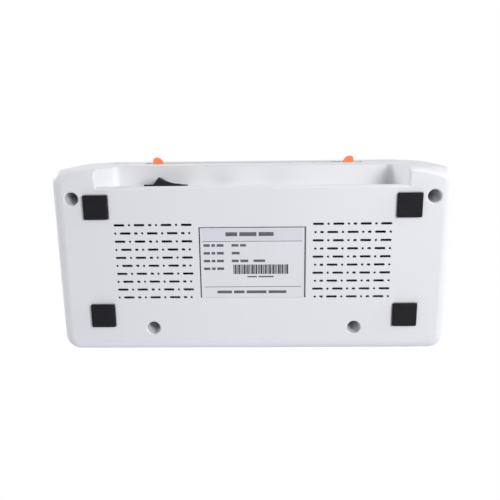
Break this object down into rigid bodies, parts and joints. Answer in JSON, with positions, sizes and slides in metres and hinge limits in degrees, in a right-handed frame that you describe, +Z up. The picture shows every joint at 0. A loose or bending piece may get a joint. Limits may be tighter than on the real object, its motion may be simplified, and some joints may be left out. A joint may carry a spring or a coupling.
{
  "type": "label_printer",
  "caption": "Desktop barcode label printer: white rounded case on rubber feet, hinged lid with side releases, rear paper inlet with linked orange guides, front exit, rear connector recess.",
  "frame": {"origin": "on the table, under the middle of the body's width and depth", "axes": "+X to the right seen from the front, -Y to the front where the labels come out, +Z up"},
  "size_m": [0.2088, 0.0996, 0.0886],
  "materials": {
    "case_white": "fine-grained white plastic",
    "frame_grey": "dark grey plastic, fine grain",
    "guide_orange": "orange plastic, half gloss",
    "black_plastic": "black plastic, half gloss",
    "foot_rubber": "black rubber",
    "platen_rubber": "ground black rubber",
    "label_silver": "silver-grey label film",
    "steel": "plain zinc-plated steel",
    "aluminium": "milled aluminium",
    "ceramic": "glazed ceramic strip",
    "nylon": "natural nylon",
    "brass": "turned brass",
    "board_green": "green solder resist",
    "motor_case": "black motor case with steel ends",
    "button_grey": "light grey plastic",
    "light_pipe": "clear light pipe"
  },
  "bodies": {
    "base": {"bottom_case": "case_white", "rating_plate": "label_silver", "rubber_feet": "foot_rubber", "case_screws": "steel", "main_board": "board_green", "board_components": "black_plastic", "board_screws": "steel", "usb_socket": "steel", "power_socket": "black_plastic", "switch_body": "black_plastic", "mid_frame": "frame_grey", "gap_sensor": "black_plastic", "platen_bushes": "nylon", "idler_stud": "steel", "stepper_motor": "motor_case", "gear_plate": "steel", "gear_screws": "steel", "guide_keeper": "steel", "keeper_screws": "steel", "hinge_pins": "steel", "left_release_spring": "steel", "right_release_spring": "steel"},
    "rocker": {"switch_rocker": "black_plastic"},
    "platen": {"platen_shaft": "steel", "platen_roller": "platen_rubber", "platen_gear": "nylon"},
    "idler": {"idler_gear": "nylon"},
    "motor_rotor": {"motor_shaft": "steel", "motor_pinion": "brass"},
    "guide_right": {"right_guide": "guide_orange"},
    "guide_left": {"left_guide": "guide_orange"},
    "guide_gear": {"guide_pinion": "nylon"},
    "release_right": {"right_release": "guide_orange"},
    "release_left": {"left_release": "guide_orange"},
    "lid": {"top_cover": "case_white", "lid_frame": "frame_grey", "lid_screws": "steel", "tear_bar": "steel", "head_pivot": "steel", "head_springs": "steel", "gap_receiver": "black_plastic", "status_light": "light_pipe", "button_board": "board_green", "button_screws": "steel"},
    "head": {"head_carrier": "aluminium", "print_head": "ceramic"},
    "button": {"feed_button": "button_grey"}
  },
  "joints": [
    {"name": "lid_hinge", "type": "hinge", "parent": "base", "child": "lid", "pos_m": [0, 0.0427, 0.05], "axis": [-1, 0, 0], "range_deg": [0, 80]},
    {"name": "head_tilt", "type": "hinge", "parent": "lid", "child": "head", "pos_m": [0, -0.0151, 0.0555], "axis": [-1, 0, 0], "range_deg": [0, 2], "stiffness_Nm_per_rad": 4, "deforming": ["head_springs"]},
    {"name": "feed_press", "type": "slide", "parent": "lid", "child": "button", "axis": [0, 0, -1], "range_m": [0, 0.001], "stiffness_N_per_m": 600},
    {"name": "rocker_tilt", "type": "hinge", "parent": "base", "child": "rocker", "pos_m": [0.045, 0.03624, 0.01268], "axis": [0, -0.1736, 0.9848], "range_deg": [-36, 0]},
    {"name": "platen_spin", "type": "hinge", "parent": "base", "child": "platen", "pos_m": [0, -0.0344, 0.04], "axis": [1, 0, 0], "continuous": true},
    {"name": "idler_spin", "type": "hinge", "parent": "base", "child": "idler", "pos_m": [0, -0.02391, 0.03266], "axis": [1, 0, 0], "continuous": true},
    {"name": "motor_spin", "type": "hinge", "parent": "base", "child": "motor_rotor", "pos_m": [0, -0.00869, 0.02556], "axis": [1, 0, 0], "continuous": true},
    {"name": "guide_slide", "type": "slide", "parent": "base", "child": "guide_right", "axis": [1, 0, 0], "range_m": [-0.042, 0.00385]},
    {"name": "guide_mirror", "type": "slide", "parent": "base", "child": "guide_left", "axis": [1, 0, 0], "range_m": [-0.00386, 0.04201]},
    {"name": "guide_gear_spin", "type": "hinge", "parent": "base", "child": "guide_gear", "pos_m": [0, 0.03255, 0.042], "axis": [0, 0, 1], "range_deg": [-602, 56]},
    {"name": "release_right_press", "type": "slide", "parent": "base", "child": "release_right", "axis": [-1, 0, 0], "range_m": [0, 0.0025], "stiffness_N_per_m": 800, "deforming": ["right_release_spring"]},
    {"name": "release_left_press", "type": "slide", "parent": "base", "child": "release_left", "axis": [1, 0, 0], "range_m": [0, 0.0025], "stiffness_N_per_m": 800, "deforming": ["left_release_spring"]}
  ],
  "couplings": [
    {"joint": "idler_spin", "follows": "platen_spin", "ratio": -1.2857},
    {"joint": "motor_spin", "follows": "platen_spin", "ratio": 3.2143},
    {"joint": "guide_mirror", "follows": "guide_slide", "ratio": -1},
    {"joint": "guide_gear_spin", "follows": "guide_slide", "rad_per_m": 250}
  ]
}
